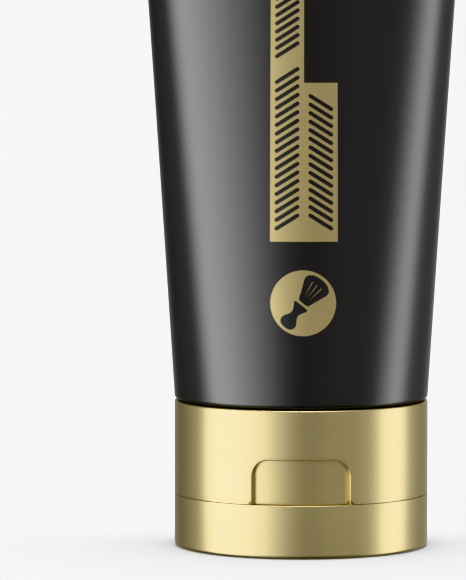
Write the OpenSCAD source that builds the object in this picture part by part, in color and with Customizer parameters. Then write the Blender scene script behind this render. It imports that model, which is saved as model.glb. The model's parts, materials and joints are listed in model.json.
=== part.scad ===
// Shaving cream tube that stands on its flip-top cap.
// Millimetres, +Z up. The origin is the centre of the lid's standing face. The thumb recess faces -Y,
// the lid hinge is at +Y, and the flat crimp runs along X at the top.

/* [Tube] */
// Diameter of the round end of the tube, and of the cap
tube_d = 40; // [39.5:0.1:41]
// Height from the standing face to the trimmed edge of the crimp
total_h = 182.6; // [160:0.1:200]
// Thickness of the laminate sleeve
sleeve_wall = 0.45; // [0.35:0.05:0.5]
// Height of the flat heat-sealed crimp
crimp_h = 5.5; // [4:0.5:8]
// Share of the sideways widening that comes late, near the crimp: 0 is a straight taper
flare_ease = 0.118; // [0:0.01:0.3]
// Power of the thinning from round to flat: lower keeps the tube full for longer
depth_power = 0.58; // [0.5:0.02:0.8]
// Share of the sleeve's height that the cream fills
fill_share = 0.85; // [0.5:0.05:0.85]

/* [Cap] */
// Height of the whole closed cap
cap_h = 23; // [22.5:0.5:26]
// Height of the lid, which is the part below the split line
lid_h = 8.4; // [8.2:0.1:8.8]
// Gap between the lid and the fixed part of the cap
split_gap = 0.15; // [0.1:0.05:0.25]
// Wall of the metallised outer shells
shell_wall = 1.2; // [1:0.1:1.3]
// Radius of the outer corner round the standing face
foot_r = 0.9; // [0.5:0.1:1.1]

/* [Thumb recess] */
// Width of the recess, measured straight across at the face of the cap
recess_w = 15.4; // [12:0.2:16]
// Height of the recess above the split line
recess_h = 6.9; // [5:0.1:8]
// Depth of the recess
recess_depth = 1.35; // [1:0.05:1.4]
// Radius of its two upper corners
recess_corner_r = 2.6; // [2:0.1:4]

/* [Spout] */
// Radius of the hole that the cream comes out of
orifice_r = 2; // [1.8:0.1:2.4]
// Radial clearance of the lid's plug in the hole
plug_clearance = 0.15; // [0.12:0.01:0.2]

/* [Hinge] */
// Width of the opening in the gold shells that shows the hinge
window_w = 16.6; // [16:0.2:17]
// Height of that opening on each side of the split line
window_h = 3.35; // [3.2:0.05:3.6]
// Thickness of the hinge film and its two straps
film_t = 0.35; // [0.25:0.05:0.4]
// Width of the hinge film between the straps
film_w = 8.4; // [6:0.2:9]

/* [Foil print] */
// Thickness of the stamped foil
foil_t = 0.06; // [0.04:0.01:0.1]
// Height of the panel's lower edge
panel_z = 48.7; // [46:0.1:60]
// Length of the panel's long column
panel_long_h = 42.8; // [30:0.1:50]
// Length of the panel's short column
panel_short_h = 24.6; // [15:0.1:29]
// Width of each column
panel_column_w = 5.2; // [4:0.1:7]
// Height of the badge's centre
badge_z = 39.45; // [34:0.1:40]
// Radius of the badge
badge_r = 5.15; // [3:0.05:5.5]

/* [Hidden] */

$fn = 96;
satin_black = [0.10, 0.10, 0.10];
satin_gold = [0.80, 0.69, 0.43];
natural_black = [0.06, 0.06, 0.06];
cream_white = [0.95, 0.94, 0.90];

body_r = tube_d / 2;
shell_inner_r = body_r - shell_wall;
split_top = lid_h + split_gap;  // lower edge of the fixed gold shell
edge_r = 0.2;                   // softened edges of the gold shells
rim_r = 0.25;
fit_gap = 0.05;                 // between pieces that sit inside each other

// The deck is the fixed disc that carries the spout. The shell's ledge holds it from below.
ledge_t = 0.75;
ledge_r = shell_inner_r - 0.6;
deck_t = 1.1;
deck_bottom = split_top + ledge_t;
deck_top = deck_bottom + deck_t;
deck_r = shell_inner_r - 2 * fit_gap;
snap_r = deck_r - 0.15;         // bead of the shell that keeps the deck on its ledge

// Thumb recess, and the thicker wall behind it
recess_floor_r = body_r - recess_depth;
boss_r = recess_floor_r - shell_wall;
boss_half_w = recess_w / 2 + shell_wall;
boss_top = split_top + recess_h + shell_wall;
boss_clearance = 0.1;

// Inner walls of the fixed part
skirt_r = boss_r - 0.15;
skirt_wall = 1.1;
skirt_top = cap_h - 1.4;
neck_r = 7.6;
neck_bore_r = 6.4;
neck_end_z = deck_top + 1.2;
neck_bead_out = 0.45;
neck_bead_z = deck_top + 4.2;   // middle of the neck's snap bead
collar_gap = 0.1;
collar_r = neck_r + collar_gap;
collar_wall = 1.7;
collar_top = cap_h - 4;
groove_out = neck_bead_out + collar_gap;
seal_r = neck_bore_r - collar_gap;
seal_wall = 1.1;
seal_top = deck_top + 4.2;
rib_count = 8;
rib_t = 0.8;
rib_top = collar_top - 0.4;

// Shoulder and neck of the tube
seam_gap = 0.2;                 // between the cap's rim and the sleeve's folded end
curl_r = 0.7;                   // outer radius of the sleeve's folded end
shoulder_z = cap_h + seam_gap;
shoulder_slope = 0.325;
shoulder_t = 1.37;              // measured straight up
shoulder_r = body_r - curl_r - 0.1;
band_r = body_r - sleeve_wall - 0.2;
band_wall = 1.05;
band_top = shoulder_z + 2.2;

// Spout and the lid's plug
spout_tip_z = 4.6;
spout_base_r = orifice_r + 2.2;
spout_tip_r = orifice_r + 1.2;
mouth_chamfer = 0.35;
plug_r = orifice_r - plug_clearance;
plug_root_r = orifice_r + 0.7;
plug_root_top = spout_tip_z - 0.6;
plug_shoulder_z = spout_tip_z + 0.5;
plug_dome_h = 1;

// Lid liner and the ring that the lid snaps over
lid_floor_t = 1.2;
liner_floor_t = 1;
liner_floor_z = lid_floor_t + liner_floor_t;
liner_r = shell_inner_r - fit_gap;
liner_wall = 1.2;
liner_top = lid_h - 0.3;
lip_r = liner_r - liner_wall - 0.35;
lip_wall = 1.1;
lip_bottom = liner_top - 1.1;
lip_bead_out = 0.15;

// Hinge: two blocks, joined outside by a thin film and two straps
window_half_w = window_w / 2;
hinge_half_w = window_half_w - 0.6;
hinge_face_y = body_r - 1.95;
hinge_block_depth = 1.7;
lid_window_z = lid_h - window_h;  // lower edge of the opening in the lid's shell
cap_block_top = deck_top + 0.9;
film_grip = 0.65;               // how far the film runs onto each block
film_bottom = liner_top - film_grip;
film_top = deck_bottom + film_grip;
film_mid_z = (liner_top + deck_bottom) / 2;
film_waist = 0.55 * film_t;
strap_gap = 0.5;

// Sleeve: the middle of its wall goes from a circle to a flat line of the same length
sleeve_start = shoulder_z + curl_r;
sleeve_end = total_h - crimp_h;
wall_mid_r = body_r - sleeve_wall / 2;
crimp_half_w = PI * body_r / 2 - 0.12;
sleeve_rings = 22;
sleeve_sides = 72;
cream_gap = 0.2;
cream_rings = 16;
cream_sides = 48;

// Foil print
foil_gap = 0.03;
long_left = -4.8;
column_cells = 5;
cell_h = 3.2;
badge_x = 0.3;
badge_rings = 6;
badge_sides = 48;

// ---------------------------------------------------------------- shape of the sleeve

// Share of the widening reached at a share u of the sleeve's height
function widening(u) = (1 - flare_ease) * u + flare_ease * pow(u, 3);

// Half width and half depth of the middle of the wall, at a share t of the widening
function half_w(t) = wall_mid_r + (crimp_half_w - body_r) * t;
function half_d(t) = sleeve_wall / 2 + (wall_mid_r - sleeve_wall / 2) * pow(max(0, 1 - t), depth_power);

// How far the sides have sharpened from an ellipse to a crease
function crease(t) = pow(t, 3);

// Section at angle a, counted from +Y towards +X, with its derivatives
function section_x(t, a) = half_w(t) * ((1 - crease(t)) * sin(a) + crease(t) * asin(sin(a)) / 90);
function section_dx(t, a) = half_w(t) * ((1 - crease(t)) * cos(a) + crease(t) * 2 / PI * sign(cos(a)));
function section_y(t, a) = half_d(t) * cos(a);
function section_dy(t, a) = -half_d(t) * sin(a);

// Point of the section, moved out along its normal
function section_point(t, a, out, z) =
    let (dx = section_dx(t, a), dy = section_dy(t, a), n = norm([dx, dy]))
    [section_x(t, a) - dy / n * out, section_y(t, a) + dx / n * out, z];

function section_ring(u, out, z, sides) =
    [for (i = [0:sides - 1]) section_point(widening(u), i * 360 / sides, out, z)];

function circle_ring(r, z, sides) =
    [for (i = [0:sides - 1]) let (a = i * 360 / sides) [r * sin(a), r * cos(a), z]];

function sleeve_share(z) = (z - sleeve_start) / (sleeve_end - sleeve_start);
function sleeve_z(u) = sleeve_start + u * (sleeve_end - sleeve_start);

// Rings crowd towards the crimp, where the shape changes fastest
function ring_share(i) = 1 - pow(1 - i / sleeve_rings, 1.7);

// Closed skin over rings with equal numbers of points
module stack(rings) {
    sides = len(rings[0]);
    last = len(rings) - 1;
    wall = [for (k = [0:last - 1]) for (i = [0:sides - 1])
        let (j = (i + 1) % sides, lo = k * sides, hi = lo + sides)
        each [[lo + i, lo + j, hi + j], [lo + i, hi + j, hi + i]]];
    ends = [[for (i = [sides - 1:-1:0]) i], [for (i = [0:sides - 1]) last * sides + i]];
    polyhedron(points = [for (r = rings) each r], faces = concat(wall, ends), convexity = 6);
}

// ---------------------------------------------------------------- shared shapes

function arc(centre, r, from, to, steps = 6) =
    [for (i = [0:steps]) let (a = from + (to - from) * i / steps) centre + r * [cos(a), sin(a)]];

module ring(r_in, r_out, z_low, z_high) {
    translate([0, 0, z_low])
    difference() {
        cylinder(r = r_out, h = z_high - z_low);
        translate([0, 0, -1]) cylinder(r = r_in, h = z_high - z_low + 2);
    }
}

// Box with its corners given
module block(low, high) {
    translate(low) cube(high - low);
}

// Opening at the back of both gold shells
module hinge_window(z_low, z_high) {
    block([-window_half_w, body_r - 4.5, z_low], [window_half_w, body_r + 1, z_high]);
}

// Everything behind the hinge blocks' outer face
module behind_hinge_face(z_low, z_high) {
    block([-window_half_w, hinge_face_y, z_low], [window_half_w, body_r + 1, z_high]);
}

module hinge_block(z_low, z_high) {
    block([-hinge_half_w, hinge_face_y - hinge_block_depth, z_low], [hinge_half_w, hinge_face_y, z_high]);
}

// ---------------------------------------------------------------- tube

// Runs up the inside, round the folded end and up the outside
module tube_sleeve() {
    inner_curl_r = curl_r - sleeve_wall;
    fold_r = body_r - curl_r;
    inside = [for (i = [sleeve_rings - 1:-1:1])
        section_ring(ring_share(i), -sleeve_wall / 2, sleeve_z(ring_share(i)), sleeve_sides)];
    fold_in = [for (p = arc([fold_r, sleeve_start], inner_curl_r, 0, -90, 2))
        circle_ring(p[0], p[1], sleeve_sides)];
    fold_out = [for (p = arc([fold_r, sleeve_start], curl_r, -90, -30, 2))
        circle_ring(p[0], p[1], sleeve_sides)];
    outside = [for (i = [0:sleeve_rings])
        section_ring(ring_share(i), sleeve_wall / 2, sleeve_z(ring_share(i)), sleeve_sides)];
    crimp = [section_ring(1, sleeve_wall / 2, total_h, sleeve_sides)];
    color(satin_black)
    stack(concat(inside, fold_in, fold_out, outside, crimp));
}

function shoulder_under(r) = shoulder_z - (shoulder_r - r) * shoulder_slope;

// Moulded shoulder welded inside the sleeve, with the neck that the cap snaps onto
module tube_head() {
    band_in = band_r - band_wall;
    neck_top = shoulder_under(neck_r);
    color(natural_black)
    rotate_extrude()
    polygon([
        [neck_bore_r, neck_end_z + 0.3],
        [neck_bore_r + 0.3, neck_end_z],
        [neck_r - 0.3, neck_end_z],
        [neck_r, neck_end_z + 0.4],
        [neck_r, neck_bead_z - 0.8],
        [neck_r + neck_bead_out, neck_bead_z - 0.2],
        [neck_r + neck_bead_out, neck_bead_z + 0.3],
        [neck_r, neck_bead_z + 0.6],
        [neck_r, neck_top],
        [shoulder_r, shoulder_z],
        [shoulder_r, shoulder_z + 0.55],
        [band_r, shoulder_z + 0.8],
        [band_r, band_top],
        [band_r - 0.3, band_top + 0.2],
        [band_in, band_top],
        [band_in, shoulder_under(band_in) + shoulder_t],
        [neck_bore_r + 0.6, shoulder_under(neck_bore_r + 0.6) + shoulder_t],
        [neck_bore_r, shoulder_under(neck_bore_r)]
    ]);
}

// Fills the sleeve, the neck and the spout's hole down to the lid's plug
module shaving_cream() {
    band_in = band_r - band_wall - cream_gap;
    above = shoulder_t + cream_gap;
    bore = [
        [plug_r, plug_shoulder_z + plug_dome_h + 0.3],
        [plug_r, deck_top + cream_gap],
        [seal_r - seal_wall - cream_gap, deck_top + cream_gap],
        [seal_r - seal_wall - cream_gap, seal_top + cream_gap],
        [neck_bore_r - cream_gap, seal_top + cream_gap],
        [neck_bore_r - cream_gap, shoulder_under(neck_bore_r) + cream_gap],
        [neck_bore_r + 0.5, shoulder_under(neck_bore_r + 0.5) + above],
        [band_in, shoulder_under(band_in) + above],
        [band_in, band_top + 0.2 + cream_gap]
    ];
    first = sleeve_share(band_top + 0.6);
    out = -sleeve_wall / 2 - cream_gap;
    color(cream_white)
    stack(concat(
        [for (p = bore) circle_ring(p[0], p[1], cream_sides)],
        [for (i = [0:cream_rings])
            let (u = first + (fill_share - first) * i / cream_rings)
            section_ring(u, out, sleeve_z(u), cream_sides)]
    ));
}

// ---------------------------------------------------------------- foil print

// Front of the sleeve at a distance s sideways, measured along its surface to first order
function front_point(s, z, out) =
    let (t = widening(sleeve_share(z)))
    section_point(t, 180 - asin(s / (half_w(t) + sleeve_wall / 2)), sleeve_wall / 2 + foil_gap + out, z);

// Thin plate on the front, made of grid cells that inside(column, row) accepts
module foil_grid(columns, rows, filled) {
    nx = len(columns);
    nz = len(rows);
    layer = nx * nz;
    points = [for (out = [0, foil_t]) for (z = rows) for (s = columns) front_point(s, z, out)];
    is_filled = function (i, k) i >= 0 && k >= 0 && i < nx - 1 && k < nz - 1 && filled(i, k);
    faces = [for (k = [0:nz - 2]) for (i = [0:nx - 2]) if (is_filled(i, k))
        let (a = k * nx + i, b = a + 1, c = b + nx, d = a + nx)
        each concat(
            [[a, b, c], [a, c, d]],
            [[layer + a, layer + c, layer + b], [layer + a, layer + d, layer + c]],
            is_filled(i, k - 1) ? [] : [[b, a, layer + a], [b, layer + a, layer + b]],
            is_filled(i + 1, k) ? [] : [[c, b, layer + b], [c, layer + b, layer + c]],
            is_filled(i, k + 1) ? [] : [[d, c, layer + c], [d, layer + c, layer + d]],
            is_filled(i - 1, k) ? [] : [[a, d, layer + d], [a, layer + d, layer + a]])];
    polyhedron(points = points, faces = faces, convexity = 6);
}

function steps(from, to, count) = [for (i = [0:count]) from + (to - from) * i / count];

// L-shaped panel: a long column on the left and a short one on the right
module front_panel_foil() {
    short_rows = round(panel_short_h / cell_h);
    extra_rows = round((panel_long_h - panel_short_h) / cell_h);
    columns = concat(
        steps(long_left, long_left + panel_column_w, column_cells),
        steps(long_left + panel_column_w * (1 + 1 / column_cells), long_left + 2 * panel_column_w,
            column_cells - 1));
    rows = concat(
        steps(panel_z, panel_z + panel_short_h, short_rows),
        steps(panel_z + panel_short_h + cell_h, panel_z + panel_long_h, extra_rows - 1));
    color(satin_gold)
    foil_grid(columns, rows, function (i, k) i < column_cells || k < short_rows);
}

// Round badge below the panel
module badge_foil() {
    radii = steps(0, badge_r, badge_rings);
    centre = badge_rings * badge_sides;
    layer = centre + 1;
    ring_points = function (out) [
        for (k = [1:badge_rings]) for (i = [0:badge_sides - 1])
            let (a = i * 360 / badge_sides)
            front_point(badge_x + radii[k] * cos(a), badge_z + radii[k] * sin(a), out)];
    points = [for (out = [0, foil_t]) each concat(ring_points(out), [front_point(badge_x, badge_z, out)])];
    faces = [for (i = [0:badge_sides - 1])
        let (j = (i + 1) % badge_sides, rim = (badge_rings - 1) * badge_sides)
        each concat(
            [[centre, i, j], [layer + centre, layer + j, layer + i]],
            [for (k = [0:badge_rings - 2])
                let (a = k * badge_sides + i, b = k * badge_sides + j, c = b + badge_sides, d = a + badge_sides)
                each [[a, d, c], [a, c, b], [layer + a, layer + c, layer + d], [layer + a, layer + b, layer + c]]],
            [[rim + i, layer + rim + i, layer + rim + j], [rim + i, layer + rim + j, rim + j]])];
    color(satin_gold)
    polyhedron(points = points, faces = faces, convexity = 6);
}

// ---------------------------------------------------------------- fixed part of the cap

// Space cut out for the thumb, with a concentric floor. A wedge sets its radial side walls, and the
// outline, which is a little wider than the wedge, rounds the two upper corners.
module recess_cutter() {
    half = recess_w / 2;
    side = asin(half / body_r);
    outline_half = half + 0.2;
    corner_x = outline_half - recess_corner_r;
    top = split_top + recess_h;
    corner_z = top - recess_corner_r;
    low = split_top - 1;
    reach = body_r + 5;
    intersection() {
        ring(recess_floor_r, body_r + 1, low, top + 1);
        translate([0, 0, low])
        linear_extrude(top + 1 - low)
        polygon([[0, 0], reach * [-sin(side), -cos(side)], reach * [sin(side), -cos(side)]]);
        rotate([90, 0, 0])
        linear_extrude(reach)
        polygon(concat(
            [[-outline_half, low], [outline_half, low]],
            arc([corner_x, corner_z], recess_corner_r, 0, 90),
            arc([-corner_x, corner_z], recess_corner_r, 90, 180)));
    }
}

module cap_shell() {
    color(satin_gold)
    difference() {
        union() {
            rotate_extrude()
            polygon(concat(
                [[ledge_r, split_top]],
                arc([body_r - edge_r, split_top + edge_r], edge_r, -90, 0, 4),
                arc([body_r - rim_r, cap_h - rim_r], rim_r, 0, 90, 4),
                [[shell_inner_r + 0.4, cap_h],
                [shell_inner_r, cap_h - 0.4],
                [shell_inner_r, deck_top + 1.1],
                [snap_r, deck_top + 0.6],
                [snap_r, deck_top + 0.2],
                [shell_inner_r, deck_top + fit_gap],
                [shell_inner_r, deck_bottom],
                [ledge_r, deck_bottom]]));
            intersection() {
                ring(boss_r, shell_inner_r + 0.2, split_top, boss_top);
                block([-boss_half_w, -body_r, split_top], [boss_half_w, 0, boss_top]);
            }
        }
        recess_cutter();
        hinge_window(split_top - 1, split_top + window_h);
    }
}

module spout() {
    rotate_extrude()
    polygon([
        [orifice_r, deck_bottom + 0.1],
        [orifice_r, spout_tip_z + mouth_chamfer],
        [orifice_r + mouth_chamfer, spout_tip_z],
        [spout_tip_r, spout_tip_z],
        [spout_base_r, deck_bottom + 0.1]
    ]);
}

// Ring round the spout that the lid's liner snaps over
module lid_lip() {
    bead_z = lip_bottom + 0.5;
    difference() {
        rotate_extrude()
        polygon([
            [lip_r - lip_wall, deck_bottom + 0.1],
            [lip_r - lip_wall, lip_bottom],
            [lip_r - 0.2, lip_bottom],
            [lip_r, bead_z - 0.2],
            [lip_r + lip_bead_out, bead_z],
            [lip_r, bead_z + 0.2],
            [lip_r, deck_bottom + 0.1]
        ]);
        block([-window_half_w, 0, lip_bottom - 1], [window_half_w, body_r, deck_bottom]);
    }
}

// Collar that grips the neck, with a groove for the neck's bead
module neck_collar() {
    rotate_extrude()
    polygon([
        [collar_r, deck_top - 0.1],
        [collar_r + collar_wall, deck_top - 0.1],
        [collar_r + collar_wall, collar_top],
        [collar_r + 0.5, collar_top],
        [collar_r, collar_top - 0.5],
        [collar_r, neck_bead_z + 0.8],
        [neck_r + groove_out, neck_bead_z + 0.4],
        [neck_r + groove_out, neck_bead_z - 0.3],
        [collar_r, neck_bead_z - 0.9]
    ]);
}

module cap_body() {
    color(natural_black)
    difference() {
        union() {
            ring(orifice_r, deck_r, deck_bottom, deck_top);
            spout();
            lid_lip();
            neck_collar();
            ring(seal_r - seal_wall, seal_r, deck_top - 0.1, seal_top);
            ring(skirt_r - skirt_wall, skirt_r, deck_top - 0.1, skirt_top);
            for (i = [0:rib_count - 1])
                rotate(i * 360 / rib_count + 180 / rib_count)
                block([collar_r + collar_wall - 0.3, -rib_t / 2, deck_top - 0.1],
                    [skirt_r - skirt_wall + 0.3, rib_t / 2, rib_top]);
            hinge_block(deck_bottom, cap_block_top);
        }
        behind_hinge_face(deck_bottom - 1, deck_top + 1);
        intersection() {
            ring(boss_r - boss_clearance, body_r, deck_bottom - 1, deck_top + 0.5);
            block([-boss_half_w - boss_clearance, -body_r, deck_bottom - 1],
                [boss_half_w + boss_clearance, 0, deck_top + 0.5]);
        }
    }
}

// ---------------------------------------------------------------- hinge

// Thin plate from block to block, waisted where it folds
module hinge_plate(x_low, x_high) {
    back = hinge_face_y + film_t;
    waist = hinge_face_y + film_waist;
    color(natural_black)
    translate([x_low, 0, 0])
    rotate([90, 0, 90])
    linear_extrude(x_high - x_low)
    polygon([
        [hinge_face_y, film_bottom],
        [back, film_bottom],
        [back, liner_top],
        [waist, film_mid_z - 0.15],
        [waist, film_mid_z + 0.15],
        [back, deck_bottom],
        [back, film_top],
        [hinge_face_y, film_top]
    ]);
}

module hinge_film() {
    hinge_plate(-film_w / 2, film_w / 2);
}

module hinge_strap_left() {
    hinge_plate(-hinge_half_w, -film_w / 2 - strap_gap);
}

module hinge_strap_right() {
    hinge_plate(film_w / 2 + strap_gap, hinge_half_w);
}

// ---------------------------------------------------------------- lid

module lid_shell() {
    color(satin_gold)
    difference() {
        rotate_extrude()
        polygon(concat(
            [[0, 0]],
            arc([body_r - foot_r, foot_r], foot_r, -90, 0),
            arc([body_r - edge_r, lid_h - edge_r], edge_r, 0, 90, 4),
            [[shell_inner_r, lid_h], [shell_inner_r, lid_floor_t], [0, lid_floor_t]]));
        hinge_window(lid_window_z, lid_h + 1);
    }
}

// Domed stopper that closes the spout's hole
module plug() {
    rotate_extrude()
    polygon(concat(
        [[0, liner_floor_z - 0.1],
        [plug_root_r + 0.4, liner_floor_z - 0.1],
        [plug_root_r, liner_floor_z + 0.4],
        [plug_root_r, plug_root_top - 0.3],
        [plug_r, plug_root_top]],
        [for (a = [0:15:90]) [plug_r * cos(a), plug_shoulder_z + plug_dome_h * sin(a)]]));
}

module lid_body() {
    color(natural_black)
    difference() {
        union() {
            translate([0, 0, lid_floor_t]) cylinder(r = liner_r, h = liner_floor_t);
            ring(liner_r - liner_wall, liner_r, lid_floor_t, liner_top);
            plug();
            hinge_block(lid_window_z + fit_gap, liner_top);
            intersection() {
                hinge_block(lid_floor_t, lid_window_z + 2 * fit_gap);
                cylinder(r = liner_r - liner_wall / 2, h = lid_h);
            }
        }
        behind_hinge_face(lid_window_z + fit_gap, liner_top + 1);
    }
}

tube_sleeve();
tube_head();
shaving_cream();
front_panel_foil();
badge_foil();
cap_shell();
cap_body();
hinge_film();
hinge_strap_left();
hinge_strap_right();
lid_shell();
lid_body();
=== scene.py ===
"""Shaving cream tube that stands on its flip-top cap: the visible model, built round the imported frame.

Lengths in this file are millimetres, and MM turns them into metres. Angles are degrees. Columns of the cap
and the lid are counted from the front (-Y) towards +X.
"""

import json
import math

import bmesh
import bpy
import numpy as np
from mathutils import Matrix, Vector
from mathutils.geometry import delaunay_2d_cdt


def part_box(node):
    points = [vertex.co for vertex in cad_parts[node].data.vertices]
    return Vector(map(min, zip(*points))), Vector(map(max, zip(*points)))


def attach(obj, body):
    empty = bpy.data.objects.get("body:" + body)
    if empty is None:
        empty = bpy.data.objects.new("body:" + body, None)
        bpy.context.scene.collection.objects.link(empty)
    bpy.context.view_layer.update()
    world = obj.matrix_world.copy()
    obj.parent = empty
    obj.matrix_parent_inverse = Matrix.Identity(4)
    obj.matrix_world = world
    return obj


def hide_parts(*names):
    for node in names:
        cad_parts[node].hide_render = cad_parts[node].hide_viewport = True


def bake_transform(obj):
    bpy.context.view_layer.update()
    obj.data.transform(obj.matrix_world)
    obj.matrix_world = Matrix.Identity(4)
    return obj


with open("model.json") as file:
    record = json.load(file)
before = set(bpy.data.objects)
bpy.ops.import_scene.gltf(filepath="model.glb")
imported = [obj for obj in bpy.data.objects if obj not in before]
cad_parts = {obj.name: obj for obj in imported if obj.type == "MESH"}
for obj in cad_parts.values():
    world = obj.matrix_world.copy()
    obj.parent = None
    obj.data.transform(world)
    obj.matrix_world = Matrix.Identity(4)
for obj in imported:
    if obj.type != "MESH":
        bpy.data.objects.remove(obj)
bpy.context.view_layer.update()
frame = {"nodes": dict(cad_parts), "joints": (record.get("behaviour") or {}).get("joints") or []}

MM = 0.001

# ---------------------------------------------------------------- sizes, from the frame


def extent(node):
    """Lowest and highest corner of a CAD node, in millimetres."""
    low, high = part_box(node)
    return np.array(low) / MM, np.array(high) / MM


_, lid_high = extent("lid_shell")
cap_low, cap_high = extent("cap_shell")
sleeve_low, sleeve_high = extent("tube_sleeve")
panel_low, panel_high = extent("front_panel_foil")
badge_low, badge_high = extent("badge_foil")
cream_low, cream_high = extent("shaving_cream")
pivot_z = frame["joints"][0]["pos_m"][2] / MM

body_r = cap_high[0]
cap_h = cap_high[2]
total_h = sleeve_high[2]

# Split between lid and cap: the gold shells meet a little lower than in the frame, with a fine gap between
frame_split = cap_low[2]
split_drop = 0.2
split_top = frame_split - split_drop
split_gap = 0.05
lid_h = split_top - split_gap

# Gold shells
shell_wall = 1.2
shell_inner_r = body_r - shell_wall
column_step = 2.5
edge_r = 0.08
edge_steps = 5
foot_r = 0.65
foot_steps = 10
rim_r = 0.25
rim_bevel = 0.4
lid_floor_t = 1.2
ledge_w = 0.6
ledge_t = 0.75
ledge_r = shell_inner_r - ledge_w
ledge_top = frame_split + ledge_t
deck_t = 1.1
deck_top = ledge_top + deck_t

# Hinge window, at the back of both shells
window_half_w = 8.3
window_h = 3.35
lid_window_z = lid_high[2] - window_h
cap_window_z = frame_split + window_h

# Thumb recess, and the boss, which is the thicker wall behind it
recess_half_w = 7.55
recess_h = 6.92
recess_depth = 1.0
recess_corner_r = 2.6
recess_edge_r = 0.2
recess_root_r = 0.1
recess_draft = 0.03
boss_t = 1.35
boss_r = shell_inner_r - boss_t
boss_half_w = recess_half_w + shell_wall
boss_top = split_top + recess_h + shell_wall

# Sleeve: the middle of its wall goes from a circle to a flat line of the same length
sleeve_wall = 0.45
curl_r = 0.7
crimp_h = 5.5
flare_ease = 0.118
depth_power = 0.58
sleeve_start = sleeve_low[2] + curl_r
sleeve_end = total_h - crimp_h
wall_mid_r = body_r - sleeve_wall / 2
crimp_half_w = sleeve_high[0]

# Foil print
foil_gap = 0.03
foil_t = 0.06
panel_lift = 0.28
short_column_h = 24.35
badge_trim = 0.1

# ---------------------------------------------------------------- meshes


def make_piece(name, points, faces, material):
    """Closed mesh object. Points that meet are joined, and sharp edges stay crisp."""
    meeting = 0.0005
    crisp_from = 38
    mesh = bpy.data.meshes.new(name)
    mesh.from_pydata((np.asarray(points, float) * MM).tolist(), [], [list(map(int, f)) for f in faces])
    work = bmesh.new()
    work.from_mesh(mesh)
    bmesh.ops.remove_doubles(work, verts=work.verts, dist=meeting * MM)
    bmesh.ops.delete(work, geom=[v for v in work.verts if not v.link_faces], context="VERTS")
    bmesh.ops.recalc_face_normals(work, faces=work.faces)
    work.to_mesh(mesh)
    work.free()
    mesh.shade_smooth()
    mesh.set_sharp_from_angle(angle=math.radians(crisp_from))
    mesh.materials.append(material)
    piece = bpy.data.objects.new(name, mesh)
    bpy.context.scene.collection.objects.link(piece)
    return piece


def joined(polygons):
    """Points and faces from polygons given by their corners."""
    points = [corner for polygon in polygons for corner in polygon]
    starts = np.cumsum([0] + [len(polygon) for polygon in polygons])
    return points, [range(a, b) for a, b in zip(starts, starts[1:])]


def skin(rings):
    """Quads between neighbouring rings, which all have the same number of points."""
    sides = len(rings[0])
    faces = []
    for k in range(len(rings) - 1):
        low, high = k * sides, (k + 1) * sides
        for i in range(sides):
            j = (i + 1) % sides
            faces.append((low + i, low + j, high + j, high + i))
    return faces


def zipped(start, sides):
    """Faces that close a flat ring by joining its front half to its back half."""
    def pair(i):
        return start + i % sides, start + (sides // 2 - i) % sides

    quarter = sides // 4
    made = []
    for i in range(-quarter, quarter):
        (a, d), (b, c) = pair(i), pair(i + 1)
        made.append(tuple(dict.fromkeys((a, b, c, d))))
    return made


def arc(centre, r, start, end, steps):
    """Points of an arc in the plane, from one angle to another."""
    angles = np.radians(np.linspace(start, end, steps + 1))
    return [(centre[0] + r * math.cos(a), centre[1] + r * math.sin(a)) for a in angles]


def circle_ring(r, z, sides):
    """Points of a level circle, from the back (+Y) towards +X."""
    angles = np.linspace(0, 2 * math.pi, sides, endpoint=False)
    return np.column_stack([r * np.sin(angles), r * np.cos(angles), np.full(sides, z)])


# ---------------------------------------------------------------- sleeve


def widening(z):
    """Share of the sideways widening reached at a height."""
    u = np.clip((z - sleeve_start) / (sleeve_end - sleeve_start), 0, 1)
    return (1 - flare_ease) * u + flare_ease * u ** 3


def half_width(t):
    """Half the width of the sleeve's wall, at a share of the widening."""
    return wall_mid_r + (crimp_half_w - body_r) * t


def section(angle, z, out):
    """Points of the sleeve's wall at angles from the back (+Y) towards +X, moved out from its middle."""
    rounding = 1e-9
    angle, z, out = np.broadcast_arrays(np.radians(angle), z, out)
    t = widening(z)
    crease = t ** 3
    width = half_width(t)
    depth = sleeve_wall / 2 + (wall_mid_r - sleeve_wall / 2) * (1 - t) ** depth_power
    sine, cosine = np.sin(angle), np.cos(angle)
    cosine = np.where(abs(cosine) < rounding, 0, cosine)
    x = width * ((1 - crease) * sine + crease * np.arcsin(sine) * 2 / math.pi)
    dx = width * ((1 - crease) * cosine + crease * 2 / math.pi * np.sign(cosine))
    y, dy = depth * cosine, -depth * sine
    length = np.hypot(dx, dy)
    return np.stack([x - dy / length * out, y + dx / length * out, z], axis=-1)


def crimp_ribs(angle, depth):
    """How far the fine ribs of the heat seal press the surface in."""
    ribs_per_quarter = 24
    return depth * (1 - np.cos(np.radians(angle) * 4 * ribs_per_quarter)) / 2


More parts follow.
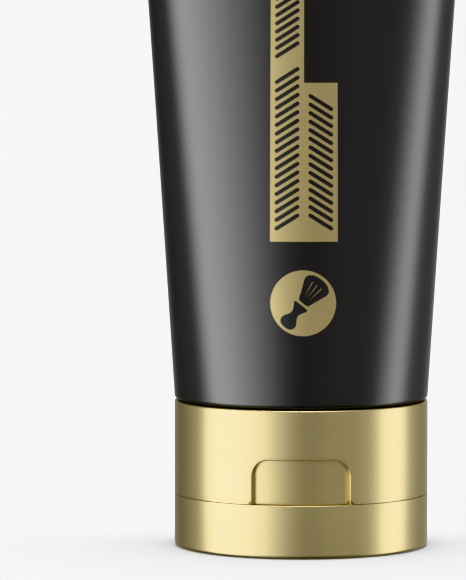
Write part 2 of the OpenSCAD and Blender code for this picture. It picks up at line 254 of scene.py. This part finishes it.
def tube_sleeve(material):
    """Sleeve with its lower edge turned in over the head, and fine ribs across the heat seal. Its rings are
    closer together towards the seal, and the inside has only some of them."""
    sides = 576
    ring_count, crowding, inside_step = 64, 1.7, 6
    fold_in_steps, fold_out_steps, fold_end = 5, 9, -8
    rib_depth, top_bevel = 0.07, 0.08
    # Height above the start of the seal, and 1 where the ribs are pressed in
    ribs = [(0.5, 0), (0.8, 1), (1.6, 1), (2.4, 1), (3.2, 1), (4, 1), (4.4, 0), (crimp_h - top_bevel, 0)]
    angle = np.arange(sides) * 360 / sides
    half = sleeve_wall / 2
    fold = (body_r - curl_r, sleeve_start)
    share = 1 - (1 - np.linspace(0, 1, ring_count)) ** crowding
    heights = sleeve_start + share * (sleeve_end - sleeve_start)
    inside = [section(angle, z, -half) for z in heights[-2:0:-inside_step]]
    fold_in = arc(fold, curl_r - sleeve_wall, 0, -90, fold_in_steps)
    fold_out = arc(fold, curl_r, -90, fold_end, fold_out_steps)
    folds = [circle_ring(r, z, sides) for r, z in fold_in + fold_out]
    outside = [section(angle, z, half) for z in heights]
    crimp = [section(angle, sleeve_end + up, half - crimp_ribs(angle, rib_depth * on)) for up, on in ribs]
    top = [section(angle, total_h, half - top_bevel)]
    rings = inside + folds + outside + crimp + top
    points = np.concatenate(rings)
    faces = skin(rings) + zipped(0, sides) + zipped(len(points) - sides, sides)
    return make_piece("sleeve", points, faces, material)


def cream_fill(material):
    """Cream that fills the head and the sleeve, with a rounded end in the spout's hole."""
    sides = 96
    gap = 0.2
    hole_r, seal_r, neck_r, flare_r, head_r = 1.85, 5, 6.2, 7.1, 18.1
    end_rise, end_from, end_steps = 0.45, 8, 8
    seal_h = 4.4
    deck_z, seal_z = deck_top + gap, deck_top + seal_h
    neck_z, flare_z, head_z, head_top_z = 19, 20.7, 24.1, 25.9
    sleeve_z, sleeve_rings = 26.1, 40
    rounded_end = [(hole_r * math.sin(a), cream_low[2] + end_rise * (1 - math.cos(a)))
                   for a in np.radians(np.linspace(end_from, 90, end_steps))]
    profile = rounded_end + [
        (hole_r, deck_z), (seal_r, deck_z), (seal_r, seal_z), (neck_r, seal_z), (neck_r, neck_z),
        (flare_r, flare_z), (head_r, head_z), (head_r, head_top_z)]
    rings = [circle_ring(r, z, sides) for r, z in profile]
    angle = np.arange(sides) * 360 / sides
    rings += [section(angle, z, -sleeve_wall / 2 - gap)
              for z in np.linspace(sleeve_z, cream_high[2], sleeve_rings)]
    points = np.concatenate(rings)
    ends = [range(sides), range(len(points) - sides, len(points))]
    return make_piece("cream", points, skin(rings) + ends, material)


# ---------------------------------------------------------------- foil print


def on_front(flat, out):
    """Places flat points (sideways, height) on the front of the sleeve."""
    s, z = np.asarray(flat).T
    turn = np.degrees(np.arcsin(s / (half_width(widening(z)) + sleeve_wall / 2)))
    return section(180 - turn, z, sleeve_wall / 2 + foil_gap + out)


def is_inside(points, loops):
    """True for each point that an odd number of loops surrounds."""
    x, y = np.asarray(points).T
    odd = np.zeros(len(x), bool)
    for loop in loops:
        for (ax, ay), (bx, by) in zip(loop, loop[1:] + loop[:1]):
            if ay != by:
                odd ^= ((ay > y) != (by > y)) & (x < ax + (y - ay) * (bx - ax) / (by - ay))
    return odd


def spread(loop, spacing):
    """The loop with points added along its long sides."""
    made = []
    for a, b in zip(loop, loop[1:] + loop[:1]):
        count = max(1, math.ceil(math.dist(a, b) / spacing))
        made += [(a[0] + (b[0] - a[0]) * k / count, a[1] + (b[1] - a[1]) * k / count) for k in range(count)]
    return made


def filled(loops, spacing):
    """Flat points and triangles that fill the loops, and leave out what an even number of them surrounds."""
    tolerance = 1e-6
    rim = np.array([p for loop in loops for p in loop])
    across, up = [np.arange(a, b, spacing) for a, b in zip(rim.min(0), rim.max(0))]
    grid = np.stack(np.meshgrid(across, up), -1).reshape(-1, 2)
    grid = grid[is_inside(grid, loops)]
    is_clear = np.array([np.hypot(*(rim - p).T).min() for p in grid]) > spacing / 2
    edges, start = [], 0
    for loop in loops:
        edges += [(start + k, start + (k + 1) % len(loop)) for k in range(len(loop))]
        start += len(loop)
    flat = np.concatenate([rim, grid[is_clear]])
    made = delaunay_2d_cdt([Vector(p) for p in flat], edges, [], 0, tolerance)
    flat, triangles = np.array([tuple(v) for v in made[0]]), made[2]
    centres = np.array([flat[list(t)].mean(0) for t in triangles])
    return flat, [t for t, keep in zip(triangles, is_inside(centres, loops)) if keep]


def foil_plate(name, loops, material):
    """Thin closed plate on the front of the sleeve. The first loop is its outline, and the others are holes,
    or islands within a hole."""
    spacing = 0.6
    flat, faces = filled([spread(loop, spacing) for loop in loops], spacing)
    sides = {(t[k], t[(k + 1) % 3]) for t in faces for k in range(3)}
    border = [(a, b) for a, b in sides if (b, a) not in sides]
    count = len(flat)
    under = [tuple(reversed(t)) for t in faces]
    over = [tuple(count + i for i in t) for t in faces]
    walls = [(a, b, count + b, count + a) for a, b in border]
    points = np.concatenate([on_front(flat, 0), on_front(flat, foil_t)])
    return make_piece(name, points, under + over + walls, material)


def bar(centre, length, width, tilt):
    """Round-ended bar, as a loop."""
    end_steps = 8
    half = (length - width) / 2
    right = arc((half, 0), width / 2, -90, 90, end_steps)
    left = arc((-half, 0), width / 2, 90, 270, end_steps)
    c, s = math.cos(math.radians(tilt)), math.sin(math.radians(tilt))
    return [(centre[0] + c * x - s * y, centre[1] + s * x + c * y) for x, y in right + left]


def panel_foil(material):
    """L-shaped panel with slanted barber's stripes that show the black through: two groups of them in the
    long column, and one in the short column."""
    stripe_w, pitch, tilt = 0.62, 1.3, 32
    stripe_share = 0.74
    margin = 1.7
    first_group_h, group_gap = 25.1, 1.3
    left, bottom = panel_low[0], panel_low[2] + panel_lift
    right, top = panel_high[0], panel_high[2]
    middle, step = (left + right) / 2, bottom + short_column_h
    long_x, short_x = (left + middle) / 2, (middle + right) / 2
    first_top = bottom + margin + first_group_h
    groups = [
        (long_x, bottom + margin, first_top, tilt),
        (long_x, first_top + group_gap, top - margin, tilt),
        (short_x, bottom + margin, step - margin, -tilt),
    ]
    outline = [(left, bottom), (right, bottom), (right, step), (middle, step), (middle, top), (left, top)]
    stripe_span = stripe_share * (middle - left) - stripe_w
    length = stripe_span / math.cos(math.radians(tilt)) + stripe_w
    half_h = (stripe_span * math.tan(math.radians(tilt)) + stripe_w) / 2
    loops = [outline]
    for x, low, high, turn in groups:
        count = round((high - low - 2 * half_h) / pitch)
        for z in np.linspace(low + half_h, high - half_h, count + 1):
            loops.append(bar((x, z), length, stripe_w, turn))
    return foil_plate("panel_foil", loops, material)


def rounded(points):
    """Closed smooth curve through points."""
    steps = 6
    p = np.array(points, float)
    made = []
    for a, b, c, d in zip(np.roll(p, 1, 0), p, np.roll(p, -1, 0), np.roll(p, -2, 0)):
        for t in np.arange(steps) / steps:
            made.append(tuple(0.5 * (2 * b + (c - a) * t + (2 * a - 5 * b + 4 * c - d) * t ** 2
                                     + (3 * b - a - 3 * c + d) * t ** 3)))
    return made


def mirrored(half):
    """Loop round an upright shape, from its right half given from the bottom up."""
    return half + [(-x, y) for x, y in reversed(half)]


def badge_plate(material):
    """Round badge with a tilted shaving brush knocked out of it. The hairs are islands in the bristles."""
    sides = 96
    tilt, size = math.radians(-38), 1.22
    r = (badge_high[2] - badge_low[2]) / 2 - badge_trim
    centre = ((badge_low[0] + badge_high[0]) / 2, badge_high[2] - r)
    handle = rounded(mirrored([(0.5, -3.75), (0.98, -3.35), (1.02, -2.75), (0.62, -2.1), (0.5, -1.6),
                               (0.72, -1.05), (0.98, -0.62), (0.86, -0.35)]))
    bristles = rounded(mirrored([(0.55, 0), (0.86, 0.3), (1.12, 1), (1.5, 1.9), (1.78, 2.75), (1.45, 3.35),
                                 (0.6, 3.72)]))
    hairs = [[(0.32 * k, 0.75), (0.62 * k + 0.05, 2.85), (0.62 * k - 0.05, 2.85)] for k in (-1.15, 0, 1.15)]
    c, s = size * math.cos(tilt), size * math.sin(tilt)
    outline = [(centre[0] + r * math.cos(a), centre[1] + r * math.sin(a))
               for a in np.linspace(0, 2 * math.pi, sides, endpoint=False)]
    shapes = [[(centre[0] + c * x - s * y, centre[1] + s * x + c * y) for x, y in shape]
              for shape in [handle, bristles, *hairs]]
    return foil_plate("badge_print", [outline, *shapes], material)


# ---------------------------------------------------------------- gold shells


def plane_angle(half_w, r):
    """Angle at which a circle of radius r meets the upright plane x = half_w."""
    return math.degrees(math.asin(min(1, half_w / r)))


boss_column = plane_angle(boss_half_w, body_r)
window_column = 180 - plane_angle(window_half_w, body_r)


def shell_point(column, r, z, with_boss=False):
    """Point of a gold shell. Its columns run straight in from the face, but those at the hinge window follow
    its upright sides, and those at the recess and its boss go in along Y, as the mould opens."""
    least_r = 1e-6
    nominal = [0, window_column, 180]
    real = [0, 180 - plane_angle(window_half_w, max(r, least_r)), 180]
    if with_boss:
        inward = plane_angle(body_r * math.sin(math.radians(min(abs(column), boss_column))), r)
        nominal[1:1] = [min(abs(column), boss_column)]
        real[1:1] = [inward]
    a = math.radians(math.copysign(np.interp(abs(column), nominal, real), column))
    return (r * math.sin(a), -r * math.cos(a), z)


def cap_point(column, r, z):
    """Point of the cap's shell, which has the boss."""
    return shell_point(column, r, z, with_boss=True)


def lid_point(column, r, z):
    """Point of the lid's shell. Its columns may go on past 180 at the back."""
    return shell_point(column if column <= 180 else column - 360, r, z)


def sweep(columns, profile_at, place):
    """Quads of a profile, given as (radius, height), carried through a run of columns."""
    lines = [[place(column, r, z) for r, z in profile_at(column)] for column in columns]
    return [[a[k], b[k], b[k + 1], a[k + 1]] for a, b in zip(lines, lines[1:]) for k in range(len(a) - 1)]


def lid_shell(material):
    """Cup with a rounded foot. At the back its wall is only as high as the hinge window's lower edge."""
    back_columns = 20
    bevel = edge_r / 2
    below = [(0, 0)] + arc((body_r - foot_r, foot_r), foot_r, -90, 0, foot_steps) + [(body_r, lid_window_z)]
    above = arc((body_r - edge_r, lid_h - edge_r), edge_r, 0, 90, edge_steps) + [
        (shell_inner_r + bevel, lid_h), (shell_inner_r, lid_h - bevel)]
    inside = [(shell_inner_r, lid_window_z), (shell_inner_r, lid_floor_t), (0, lid_floor_t)]
    half = [*np.arange(0, window_column, column_step), window_column]
    front = [-c for c in reversed(half[1:])] + half
    back = np.linspace(window_column, 360 - window_column, back_columns)
    polygons = sweep(front, lambda column: below + above + inside, lid_point)
    polygons += sweep(back, lambda column: below + inside, lid_point)
    for column in (window_column, -window_column):
        polygons.append([lid_point(column, r, z) for r, z in [below[-1]] + above + [inside[0]]])
    return make_piece("lid_outer", *joined(polygons), material)


# The cap's outer face is made unrolled: s runs round the cap, and v runs up its profile. A row is a point of
# the profile, from the lower edge up
rows_to_window, rows_to_rim = 4, 11
face_foot = arc((body_r - edge_r, split_top + edge_r), edge_r, -90, 0, edge_steps)
face_wall = [(body_r, z) for z in np.linspace(split_top + edge_r, cap_window_z, rows_to_window)[1:]]
window_row = len(face_foot + face_wall) - 1
face_wall += [(body_r, z) for z in np.linspace(cap_window_z, cap_h - rim_r, rows_to_rim)[1:-1]]
rim_row = len(face_foot + face_wall)
face_profile = face_foot + face_wall + arc((body_r - rim_r, cap_h - rim_r), rim_r, 0, 90, edge_steps)
face_rows = np.cumsum([0] + [math.dist(a, b) for a, b in zip(face_profile, face_profile[1:])])
recess_top = face_rows[len(face_foot) - 1] + split_top + recess_h - face_foot[-1][1]


def round_the_cap(column):
    """How far round the unrolled face a column is."""
    return body_r * math.radians(column)


def recess_distance(s, v):
    """Distance outside the recess's outline on the unrolled face; the outline is open at the bottom."""
    half = round_the_cap(plane_angle(recess_half_w, body_r))
    x, y = abs(s) - half + recess_corner_r, v - recess_top + recess_corner_r
    return math.hypot(max(x, 0), max(y, 0)) + min(max(x, y), 0) - recess_corner_r


def is_clear_of_wall(away):
    """True at a distance from the recess's outline that leaves room for the points of its wall."""
    guard = 0.3
    return away > recess_edge_r + guard or away < -recess_draft - recess_root_r - guard


def recess_loop(out):
    """Outline of the recess on the unrolled face, moved outwards, from its lower left to its lower right."""
    side_steps, corner_steps, top_steps = 5, 14, 10
    half = round_the_cap(plane_angle(recess_half_w, body_r)) + out
    r = recess_corner_r + out
    corner = (half - r, recess_top + out - r)
    side = [(half, corner[1] * k / side_steps) for k in range(side_steps)]
    top = [(corner[0] * (1 - k / top_steps), recess_top + out) for k in range(1, top_steps + 1)]
    right = side + arc(corner, r, 0, 90, corner_steps) + top
    return [(-x, y) for x, y in right] + right[-2::-1]


def recess_steps():
    """Pairs of distance and depth down the recess's wall: rounded edge, drafted wall, rounded root."""
    turns = np.radians(np.linspace(0, 90, edge_steps + 1))
    edge = [(recess_edge_r * (1 - math.sin(a)), recess_edge_r * (1 - math.cos(a))) for a in turns]
    root = [(-recess_draft - recess_root_r * (1 - math.cos(a)),
             recess_depth - recess_root_r * (1 - math.sin(a))) for a in turns]
    return edge + root


def face_points():
    """Points of the unrolled face, each one's depth, the edges that its triangles have to keep, and the
    depth of each column in the lowest row and in the highest row."""
    points, depths, edges = [], [], []
    low, high = {}, {}
    for out, depth in recess_steps():
        loop = recess_loop(out)
        edges += [(len(points) + k, len(points) + k + 1) for k in range(len(loop) - 1)]
        points += loop
        depths += [depth] * len(loop)
        for s in (loop[0][0], loop[-1][0]):
            low[math.degrees(s / body_r)] = depth

    half = sorted([*np.arange(0, 180 + column_step / 2, column_step), boss_column, window_column])
    columns = [-c for c in reversed(half[1:])] + half
    loop_columns = list(low)
    numbers = {}
    for column in sorted(columns + loop_columns):
        s = round_the_cap(column)
        rows = range(window_row if abs(column) > window_column else 0, len(face_rows))
        if column in loop_columns:
            rows = range(rim_row, len(face_rows))
        elif not is_clear_of_wall(recess_distance(s, 0)):
            rows = range(rim_row)
        for k in rows:
            away = recess_distance(s, face_rows[k])
            if is_clear_of_wall(away):
                numbers[column, k] = len(points)
                points.append((s, face_rows[k]))
                depths.append(recess_depth if away < 0 else 0)

    for side in (-1, 1):
        post = [numbers[side * window_column, k] for k in range(window_row + 1)]
        head = [numbers[c, window_row] for c in columns if c * side >= window_column]
        edges += [*zip(post, post[1:]), *zip(head, head[1:])]
    for (column, k), number in numbers.items():
        if k == 0:
            low[column] = depths[number]
        if k == len(face_rows) - 1:
            high[column] = depths[number]
    return points, depths, edges, low, high


def cap_face(points, depths, edges):
    """Triangles of the cap's outer face, put round the cap, with the recess and without the hinge window."""
    tolerance = 1e-7
    radii, heights = zip(*face_profile)
    made = delaunay_2d_cdt([Vector(p) for p in points], edges, [], 0, tolerance)
    triangles, sources = made[2], [origin[0] for origin in made[3]]
    corners = []
    for source in sources:
        s, v = points[source]
        r = float(np.interp(v, face_rows, radii)) - depths[source]
        corners.append(cap_point(math.degrees(s / body_r), r, float(np.interp(v, face_rows, heights))))
    polygons = []
    for triangle in triangles:
        s, v = np.mean([points[sources[i]] for i in triangle], axis=0)
        if abs(s) < round_the_cap(window_column) or v > face_rows[window_row]:
            polygons.append([corners[i] for i in triangle])
    return polygons


def cap_shell(material):
    """Ring of gold wall with the recess, the ledge on which the deck rests, and the bead that holds it."""
    # How far the bead reaches in, and its height above the deck
    bead = [(0, 0.05), (0.25, 0.2), (0.25, 0.6), (0, 1.1)]
    points, depths, edges, low, high = face_points()
    post = face_profile[:window_row + 1]
    upper = [(shell_inner_r, boss_top), (shell_inner_r, cap_h - rim_bevel),
             (shell_inner_r + rim_bevel, cap_h), (body_r - rim_r, cap_h)]
    ledge = [(ledge_r, split_top), (ledge_r, ledge_top), (shell_inner_r, ledge_top)]
    ledge += [(shell_inner_r - reach, deck_top + up) for reach, up in bead] + [(shell_inner_r, cap_window_z)]
    boss = [(ledge_r, split_top), (boss_r, split_top), (boss_r, boss_top)]
    behind = [(body_r, cap_window_z), (shell_inner_r, cap_window_z)] + upper

    def low_corner(column):
        return [(body_r - edge_r - low[column], split_top)]

    polygons = cap_face(points, depths, edges)
    at_boss = [c for c in sorted(low) if abs(c) <= boss_column]
    polygons += sweep(at_boss, lambda c: low_corner(c) + boss + upper, cap_point)
    for side in (-1, 1):
        beside = [c for c in sorted(low) if boss_column <= c * side <= window_column]
        at_window = [c for c in sorted(high) if c * side >= window_column]
        polygons += sweep(beside, lambda c: low_corner(c) + ledge + upper, cap_point)
        polygons += sweep(at_window, lambda c: behind, cap_point)
        polygons.append([cap_point(side * boss_column, r, z) for r, z in boss + [upper[0]] + ledge[:0:-1]])
        polygons.append([cap_point(side * window_column, r, z) for r, z in post + ledge[::-1]])
    return make_piece("cap_outer", *joined(polygons), material)


# ---------------------------------------------------------------- hinge


def hinge_plate(name, node, material):
    """Plate across the hinge, thinner round the pivot, where the real hinge folds between the tube and the
    lid. Here it stays straight.
    """
    waist_half, shoulder, waist_share = 0.15, 0.6, 0.55
    chamfer = 0.06
    ring_count = 41
    low, high = extent(node)
    front = low[1]
    waist = front + waist_share * (high[1] - front)
    rings = []
    for z in np.linspace(low[2], high[2], ring_count):
        thin = np.clip((shoulder - abs(z - pivot_z)) / (shoulder - waist_half), 0, 1)
        back = high[1] + (waist - high[1]) * thin * thin * (3 - 2 * thin)
        rings.append([
            (low[0], front, z), (high[0], front, z), (high[0], back - chamfer, z),
            (high[0] - chamfer, back, z), (low[0] + chamfer, back, z), (low[0], back - chamfer, z)])
    sides = len(rings[0])
    points = [p for ring in rings for p in ring]
    faces = skin(rings) + [range(sides), range(len(points) - sides, len(points))]
    piece = make_piece(name, points, faces, material)
    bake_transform(piece)
    return piece


# ---------------------------------------------------------------- materials


class Nodes:
    """Small helper that empties a material or a world, and adds linked nodes to it."""

    # Noise mostly keeps to this range
    LOW, HIGH = 0.3, 0.7

    def __init__(self, owner):
        owner.use_nodes = True
        self.tree = owner.node_tree
        self.tree.nodes.clear()

    def add(self, kind, inputs=(), **settings):
        """New node, with each input linked to a socket or set to a value."""
        node = self.tree.nodes.new(kind)
        for key, value in settings.items():
            setattr(node, key, value)
        for key, value in dict(inputs).items():
            if isinstance(value, bpy.types.NodeSocket):
                self.tree.links.new(value, node.inputs[key])
            else:
                node.inputs[key].default_value = value
        return node

    def noise(self, scale, detail=3):
        place = self.add("ShaderNodeTexCoord").outputs["Object"]
        inputs = {"Vector": place, "Scale": scale, "Detail": detail}
        return self.add("ShaderNodeTexNoise", inputs).outputs["Fac"]

    def between(self, value, low, high):
        """Number that goes from low to high over the noise's range."""
        inputs = {"Value": value, "From Min": self.LOW, "From Max": self.HIGH, "To Min": low, "To Max": high}
        return self.add("ShaderNodeMapRange", inputs).outputs["Result"]

    def blend(self, value, low, high):
        """Colour that goes from low to high over the noise's range."""
        ramp = self.add("ShaderNodeValToRGB", {"Fac": value})
        for element, position, colour in zip(ramp.color_ramp.elements, (self.LOW, self.HIGH), (low, high)):
            element.position = position
            element.color = (*colour, 1)
        return ramp.outputs["Color"]

    def calc(self, operation, *values):
        return self.add("ShaderNodeMath", dict(enumerate(values)), operation=operation).outputs[0]

    def ramp(self, value, start, end):
        """0 at the start and 1 at the end, eased."""
        return self.add("ShaderNodeMapRange", {"Value": value, "From Min": start, "From Max": end},
                        interpolation_type="SMOOTHSTEP").outputs["Result"]


def surface(name, colours, roughness, cloud_scale, grain_scale, grain_height, metallic=0.0, **fixed):
    """Principled material. Its colour drifts over slow clouds, and a fine grain lifts its surface and varies
    its roughness."""
    material = bpy.data.materials.new(name)
    nodes = Nodes(material)
    cloud = nodes.noise(cloud_scale)
    grain = nodes.noise(grain_scale, detail=5)
    bump = nodes.add("ShaderNodeBump", {"Height": grain, "Distance": grain_height * MM, "Strength": 1.0})
    shader = nodes.add("ShaderNodeBsdfPrincipled", {
        "Base Color": nodes.blend(cloud, *colours), "Metallic": metallic,
        "Roughness": nodes.between(grain, *roughness), "Normal": bump.outputs["Normal"]})
    for key, value in fixed.items():
        shader.inputs[key.replace("_", " ")].default_value = value
    nodes.add("ShaderNodeOutputMaterial", {"Surface": shader.outputs["BSDF"]})
    return material


def black_laminate():
    return surface("black_laminate", ((0.004, 0.004, 0.004), (0.005, 0.005, 0.0053)), (0.255, 0.27),
                   cloud_scale=60, grain_scale=2500, grain_height=0.0002, IOR=1.94)


def black_moulding():
    return surface("black_moulding", ((0.014, 0.014, 0.0145), (0.020, 0.020, 0.020)), (0.38, 0.52),
                   cloud_scale=150, grain_scale=4000, grain_height=0.006)


def gold_shell():
    return surface("gold_shell", ((0.68, 0.58, 0.307), (0.70, 0.598, 0.319)), (0.28, 0.32),
                   cloud_scale=90, grain_scale=8000, grain_height=0.0004, metallic=1.0)


def gold_foil():
    return surface("gold_foil", ((0.72, 0.61, 0.312), (0.75, 0.635, 0.327)), (0.34, 0.42),
                   cloud_scale=120, grain_scale=3500, grain_height=0.002, metallic=1.0)


def shaving_cream():
    return surface("shaving_cream", ((0.84, 0.83, 0.79), (0.90, 0.89, 0.85)), (0.32, 0.46),
                   cloud_scale=400, grain_scale=1800, grain_height=0.02, Subsurface_Weight=0.2,
                   Subsurface_Scale=0.002)


# ---------------------------------------------------------------- studio


def studio_world():
    """Soft boxes round the tube, and an even pale backdrop that only the camera sees. Azimuth is 0 in front
    (-Y) and grows towards +X, and height is -1 straight down and 1 straight up."""
    world = bpy.data.worlds.new("studio")
    bpy.context.scene.world = world
    nodes = Nodes(world)
    direction = nodes.add("ShaderNodeTexCoord").outputs["Generated"]
    axes = nodes.add("ShaderNodeSeparateXYZ", {"Vector": direction}).outputs
    height = axes["Z"]
    frontwards = nodes.calc("MULTIPLY", axes["Y"], -1.0)
    azimuth = nodes.calc("DEGREES", nodes.calc("ARCTAN2", axes["X"], frontwards))
    either_side = nodes.calc("ABSOLUTE", azimuth)

    # Each light is its strength and its eased edges: what is measured, where it is dark and where it is full
    room = 0.18
    left = (3.3, (azimuth, 3, -92), (azimuth, -102, -80), (height, 0.55, 0.25))
    right = (3.8, (azimuth, 65, 108), (azimuth, 114, 88), (height, 0.55, 0.25))
    overhead = (10.0, (height, 0.88, 0.98))
    front_right = (0.12, (azimuth, 2, 30))
    front = (0.14, (either_side, 140, 115))
    rear = (0.25, (either_side, 145, 170))
    below, below_share = (height, -0.85, -0.15), 0.12

    level = room
    for strength, *edges in (left, right, overhead, front_right, front, rear):
        light = strength
        for value, dark, bright in edges:
            light = nodes.calc("MULTIPLY", light, nodes.ramp(value, dark, bright))
        level = nodes.calc("ADD", level, light)
    dimmed = nodes.calc("ADD", below_share, nodes.calc("MULTIPLY", nodes.ramp(*below), 1 - below_share))
    level = nodes.calc("MULTIPLY", level, dimmed)
    tint = nodes.blend(level, (1, 0.97, 0.95), (1, 1, 1))
    studio = nodes.add("ShaderNodeBackground", {"Color": tint, "Strength": level})
    backdrop = nodes.add("ShaderNodeBackground", {"Color": (0.981, 0.981, 1.0, 1), "Strength": 1.5})
    seen = nodes.add("ShaderNodeLightPath").outputs["Is Camera Ray"]
    mixed = nodes.add("ShaderNodeMixShader", {
        0: seen, 1: studio.outputs["Background"], 2: backdrop.outputs["Background"]})
    nodes.add("ShaderNodeOutputWorld", {"Surface": mixed.outputs["Shader"]})


def pale_floor():
    """Matt surface with painted shade: an ambient occlusion node darkens its colour close to the tube, a
    painted contact shadow.
    It is solid round the tube, and clear from below, further out, and behind, where the open lid swings."""
    solid_r, clear_r = 40, 65
    solid_y, clear_y = 2, 26
    shade_reach, shade_rays = 32, 16
    material = bpy.data.materials.new("pale_floor")
    nodes = Nodes(material)
    place = nodes.add("ShaderNodeTexCoord").outputs["Object"]
    away = nodes.add("ShaderNodeVectorMath", {0: place}, operation="LENGTH").outputs["Value"]
    back = nodes.add("ShaderNodeSeparateXYZ", {"Vector": place}).outputs["Y"]
    below = nodes.add("ShaderNodeNewGeometry").outputs["Backfacing"]
    near = nodes.ramp(away, clear_r * MM, solid_r * MM)
    solid = nodes.calc("MULTIPLY", near, nodes.ramp(back, clear_y * MM, solid_y * MM))
    solid = nodes.calc("MULTIPLY", solid, nodes.calc("SUBTRACT", 1.0, below))
    pale = nodes.blend(nodes.noise(5), (0.78, 0.785, 0.81), (0.79, 0.795, 0.82))
    # Painted shade: ambient occlusion mixes the floor's colour towards a dark cool grey near the tube, a
    # painted contact shadow on top of the floor's real shading
    painted_shade_ao = nodes.add("ShaderNodeAmbientOcclusion", {"Distance": shade_reach * MM}, samples=shade_rays)
    colour = nodes.add("ShaderNodeMixRGB", {
        "Fac": painted_shade_ao.outputs["AO"], "Color1": (0.34, 0.36, 0.42, 1), "Color2": pale}).outputs["Color"]
    matt = nodes.add("ShaderNodeBsdfDiffuse", {"Color": colour})
    clear = nodes.add("ShaderNodeBsdfTransparent")
    mixed = nodes.add("ShaderNodeMixShader", {0: solid, 1: clear.outputs["BSDF"], 2: matt.outputs["BSDF"]})
    nodes.add("ShaderNodeOutputMaterial", {"Surface": mixed.outputs["Shader"]})
    return material


def floor():
    """Plain pale floor. Only the camera sees it, so the shells keep the soft boxes' clean reflections."""
    half = 1500 * MM
    corners = [(-half, -half, 0), (half, -half, 0), (half, half, 0), (-half, half, 0)]
    mesh = bpy.data.meshes.new("floor")
    mesh.from_pydata(corners, [], [(0, 1, 2, 3)])
    mesh.materials.append(pale_floor())
    plane = bpy.data.objects.new("floor", mesh)
    bpy.context.scene.collection.objects.link(plane)
    plane.visible_glossy = False
    plane.visible_diffuse = False
    plane.visible_shadow = False


def camera():
    """Long lens in front of the tube, about half way up it, tipped down and turned slightly left."""
    distance, eye_z = 714.3, 90.4
    tip, turn = 4.015, 0.863
    data = bpy.data.cameras.new("camera")
    data.lens = 281.7
    data.sensor_width = 36
    data.clip_start = 50 * MM
    data.clip_end = 100000 * MM
    viewer = bpy.data.objects.new("camera", data)
    viewer.location = (0, -distance * MM, eye_z * MM)
    viewer.rotation_euler = (math.radians(90 - tip), 0, math.radians(turn))
    bpy.context.scene.collection.objects.link(viewer)
    bpy.context.scene.camera = viewer


# ---------------------------------------------------------------- assembly


def show(piece, body, slot, *nodes):
    """Lets a finished piece stand for its CAD nodes and move with a body."""
    if body:
        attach(piece, body)
    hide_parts(*nodes)


def dress(node, material):
    """Gives a CAD node that stays its material."""
    piece = frame["nodes"][node]
    piece.data.materials.clear()
    piece.data.materials.append(material)


camera()
laminate, moulding, shell, foil, cream = (
    black_laminate(), black_moulding(), gold_shell(), gold_foil(), shaving_cream())

show(tube_sleeve(laminate), "tube", "black_laminate", "tube_sleeve")
show(cream_fill(cream), "tube", "cream", "shaving_cream")
show(panel_foil(foil), "tube", "gold_foil", "front_panel_foil")
show(badge_plate(foil), "tube", "gold_foil", "badge_foil")
show(cap_shell(shell), "tube", "gold_shell", "cap_shell")
show(lid_shell(shell), "lid", "gold_shell", "lid_shell")
for plate in ("hinge_film", "hinge_strap_left", "hinge_strap_right"):
    show(hinge_plate(plate + "_flex", plate, moulding), None, "black_moulding", plate)
for kept in ("tube_head", "cap_body", "lid_body"):
    dress(kept, moulding)

floor()
studio_world()
bpy.context.scene.view_settings.view_transform = "Khronos PBR Neutral"
